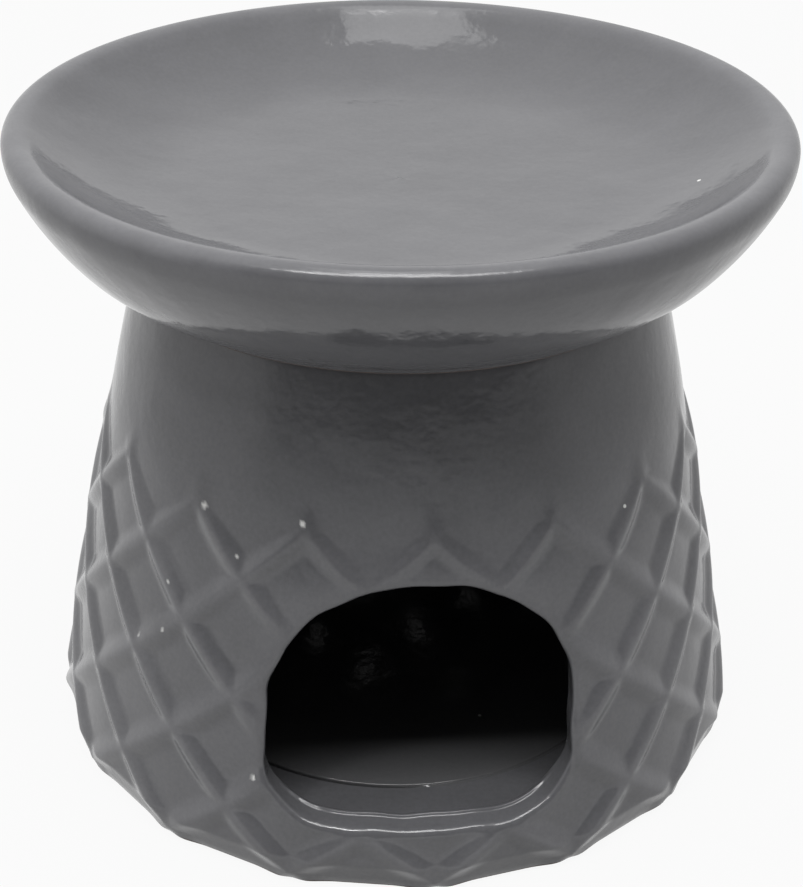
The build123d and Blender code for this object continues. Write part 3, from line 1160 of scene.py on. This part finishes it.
@dataclass
class Studio:
    """Pale floor, soft lights and the camera at the photograph's angle."""

    floor_size: float = 3.0
    floor_drop: float = 0.02 * MM
    floor_tone: float = 0.42
    white_share: float = 0.93
    near_floor: float = 0.12
    far_floor: float = 0.45
    side_floor: float = 0.85
    corner_floor: float = 0.58
    side_edge: tuple[float, float] = (-0.42, -0.26)
    front_edge: tuple[float, float] = (0.42, 0.72)
    tent_tone: float = 0.84
    roof_rise: float = 0.35
    right_share: float = 0.68
    opening_tone: float = 0.06
    opening: tuple[float, float, float] = (0.0, -0.966, 0.259)
    opening_edge: tuple[float, float] = (0.3, 0.75)
    lamps: tuple[Lamp, ...] = (
        Lamp("roof_panel", (0.0, -0.05, 1.0), (0.28, 0.6), 2.2),
        Lamp("roof_tube", (-0.02, -0.13, 1.0), (0.26, 0.05), 14.0),
        Lamp("front_panel", (0.0, -0.36, 0.97), (0.6, 0.24), 9.0),
        Lamp("front_spot", (-0.34, -0.42, 0.89), (0.08, 0.08), 40.0),
    )

    def build_floor(self) -> None:
        """Lays the floor, which the camera sees near white and which keeps the shadow."""
        half = self.floor_size / 2
        mesh = bpy.data.meshes.new("studio_floor")
        mesh.from_pydata([(-half, -half, 0), (half, -half, 0), (half, half, 0), (-half, half, 0)], [], [(0, 1, 2, 3)])
        floor = bpy.data.objects.new("studio_floor", mesh)
        floor.location.z = -self.floor_drop
        bpy.context.scene.collection.objects.link(floor)
        material = bpy.data.materials.new("studio_paper")
        material.use_nodes = True
        tree = material.node_tree
        tree.nodes.remove(tree.nodes["Principled BSDF"])
        tone = self.floor_tone
        paper = add_node(tree, "ShaderNodeBsdfDiffuse", {"Color": (tone, tone, tone, 1)})
        glow = add_node(tree, "ShaderNodeEmission", {"Color": (1, 1, 1, 1), "Strength": 1.0})
        rays = add_node(tree, "ShaderNodeLightPath", {}).outputs
        place = add_node(tree, "ShaderNodeTexCoord", {}).outputs["Object"]
        away = add_node(tree, "ShaderNodeVectorMath", {0: place}, operation="LENGTH").outputs["Value"]
        near = add_node(
            tree, "ShaderNodeMapRange",
            {"Value": away, "From Min": self.near_floor, "From Max": self.far_floor, "To Min": 1.0, "To Max": 0.0},
            interpolation_type="SMOOTHSTEP",
        ).outputs["Result"]
        heading = add_node(tree, "ShaderNodeVectorMath", {0: place}, operation="NORMALIZE").outputs["Vector"]
        front = add_node(
            tree, "ShaderNodeVectorMath", {0: heading, 1: (0.0, -1.0, 0.0)}, operation="DOT_PRODUCT"
        ).outputs["Value"]
        corner = add_node(
            tree, "ShaderNodeMapRange",
            {
                "Value": front, "From Min": self.side_edge[0], "From Max": self.side_edge[1],
                "To Min": self.side_floor, "To Max": self.corner_floor,
            },
            interpolation_type="SMOOTHSTEP",
        ).outputs["Result"]
        aside = add_node(
            tree, "ShaderNodeMapRange",
            {
                "Value": front, "From Min": self.front_edge[0], "From Max": self.front_edge[1],
                "To Min": corner, "To Max": 0.0,
            },
            interpolation_type="SMOOTHSTEP",
        ).outputs["Result"]
        bright = add_node(tree, "ShaderNodeMath", {0: near, 1: aside}, operation="MAXIMUM").outputs[0]
        across = add_node(tree, "ShaderNodeSeparateXYZ", {"Vector": heading}).outputs["X"]
        right = add_node(
            tree, "ShaderNodeMapRange", {"Value": across, "From Min": 0.0, "To Min": 1.0, "To Max": self.right_share}
        ).outputs["Result"]
        bright = add_node(tree, "ShaderNodeMath", {0: bright, 1: right}, operation="MULTIPLY").outputs[0]
        mirrored = add_node(
            tree, "ShaderNodeMath", {0: rays["Is Glossy Ray"], 1: bright}, operation="MULTIPLY"
        ).outputs[0]
        seen = add_node(
            tree, "ShaderNodeMath", {0: rays["Is Camera Ray"], 1: mirrored}, operation="MAXIMUM"
        ).outputs[0]
        seen = add_node(
            tree, "ShaderNodeMath", {0: seen, 1: rays["Is Transmission Ray"]}, operation="MAXIMUM"
        ).outputs[0]
        share = add_node(tree, "ShaderNodeMath", {0: seen, 1: self.white_share}, operation="MULTIPLY").outputs[0]
        mixed = add_node(tree, "ShaderNodeMixShader", {0: share, 1: paper.outputs[0], 2: glow.outputs[0]})
        tree.links.new(mixed.outputs[0], tree.nodes["Material Output"].inputs["Surface"])
        mesh.materials.append(material)

    def build_lights(self) -> None:
        """Sets up the light tent, dark at its front opening, and the strips under its ceiling."""
        world = bpy.data.worlds.new("studio_tent")
        world.use_nodes = True
        tree = world.node_tree
        toward = add_node(tree, "ShaderNodeTexCoord", {}).outputs["Generated"]
        axes = add_node(tree, "ShaderNodeSeparateXYZ", {"Vector": toward}).outputs
        height = add_node(tree, "ShaderNodeMath", {0: axes["Z"], 1: 0.0}, operation="MAXIMUM").outputs[0]
        square = add_node(tree, "ShaderNodeMath", {0: height, 1: height}, operation="MULTIPLY").outputs[0]
        wall = add_node(
            tree, "ShaderNodeMath", {0: square, 1: self.roof_rise, 2: self.tent_tone}, operation="MULTIPLY_ADD"
        ).outputs[0]
        facing = add_node(
            tree, "ShaderNodeVectorMath", {0: toward, 1: self.opening}, operation="DOT_PRODUCT"
        ).outputs["Value"]
        tone = add_node(
            tree, "ShaderNodeMapRange",
            {
                "Value": facing, "From Min": self.opening_edge[0], "From Max": self.opening_edge[1],
                "To Min": wall, "To Max": self.opening_tone,
            },
            interpolation_type="SMOOTHSTEP",
        ).outputs["Result"]
        side = add_node(
            tree, "ShaderNodeMapRange", {"Value": axes["X"], "From Min": 0.0, "To Min": 1.0, "To Max": self.right_share}
        ).outputs["Result"]
        tone = add_node(tree, "ShaderNodeMath", {0: tone, 1: side}, operation="MULTIPLY").outputs[0]
        seen = add_node(tree, "ShaderNodeLightPath", {}).outputs["Is Camera Ray"]
        shown = add_node(tree, "ShaderNodeMix", {"Factor": seen, "A": tone, "B": 1.0}, data_type="FLOAT")
        tree.links.new(shown.outputs["Result"], tree.nodes["Background"].inputs["Color"])
        bpy.context.scene.world = world
        for lamp in self.lamps:
            lamp.hang()

    def build_camera(self) -> None:
        """Sets up the camera that was fitted to the photograph."""
        target = Vector((0, 0, 46.6 * MM))
        azimuth, elevation, roll = math.radians(-4.4), math.radians(29.63), 0.0105
        distance = 311.1 * MM
        focal_pixels, shift_pixels = 1863, 4.3
        away = Vector((
            math.sin(azimuth) * math.cos(elevation), -math.cos(azimuth) * math.cos(elevation), math.sin(elevation)
        ))
        right = Vector((0, 0, 1)).cross(away).normalized()
        up = away.cross(right)
        right_rolled = right * math.cos(roll) + up * math.sin(roll)
        up_rolled = up * math.cos(roll) - right * math.sin(roll)
        data = bpy.data.cameras.new("camera")
        data.sensor_fit = "HORIZONTAL"
        data.lens = data.sensor_width * focal_pixels / IMAGE_WIDTH
        data.shift_x = shift_pixels / IMAGE_WIDTH
        data.clip_start = 0.01
        camera = bpy.data.objects.new("camera", data)
        turn = Matrix((right_rolled, up_rolled, away)).transposed()
        camera.matrix_world = Matrix.Translation(target + away * distance) @ turn.to_4x4()
        bpy.context.scene.collection.objects.link(camera)
        bpy.context.scene.camera = camera


def dress(piece: bpy.types.Object, node: str, body: Body) -> None:
    """Puts a piece in the place of its CAD node.

    Args:
        piece: The finished piece.
        node: The node that it replaces.
        body: The body that it rides on.
    """
    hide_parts(node)
    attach(piece, body.value)
    log.info("%s: %d faces, on %s", piece.name, len(piece.data.polygons), body.value)


def main() -> None:
    """Builds the studio and the three pieces of the burner."""
    logging.basicConfig(level=logging.INFO, format="%(name)s %(message)s")
    bpy.context.scene.view_settings.view_transform = "Standard"
    studio = Studio()
    studio.build_floor()
    studio.build_lights()
    studio.build_camera()

    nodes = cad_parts
    body_low, body_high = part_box("burner_body")
    disc_low, disc_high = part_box("floor_disc")
    dish_low, dish_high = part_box("oil_dish")
    effects = GlazeEffects()
    body_glaze = GlazeFinish("body_glaze", (0.13, 0.13, 0.138, 1), (0.155, 0.155, 0.164, 1), clouding=0.34).build(effects)
    floor_glaze = GlazeFinish("floor_glaze", (0.12, 0.12, 0.124, 1), (0.15, 0.15, 0.154, 1)).build(effects)
    dish_glaze = GlazeFinish("dish_glaze", (0.13, 0.13, 0.138, 1), (0.155, 0.155, 0.164, 1), clouding=0.22, waves=0.8).build(effects)

    shell = BurnerShell(height=body_high[2]).build().to_object("burner_shell", body_glaze)
    dress(shell, "burner_body", Body.BODY)
    disc = CandleFloor(bottom=disc_low[2], top=disc_high[2], radius=39.3 * MM).build()
    dress(disc.to_object("candle_floor", floor_glaze), "floor_disc", Body.BODY)
    dish = OilDish(seat=body_high[2], top=dish_high[2], radius=60.0 * MM).build()
    dress(dish.to_object("oil_dish_bowl", dish_glaze), "oil_dish", Body.DISH)
    log.info("replaced %d nodes of the packed model", len(nodes))


if __name__ == "__main__":
    main()
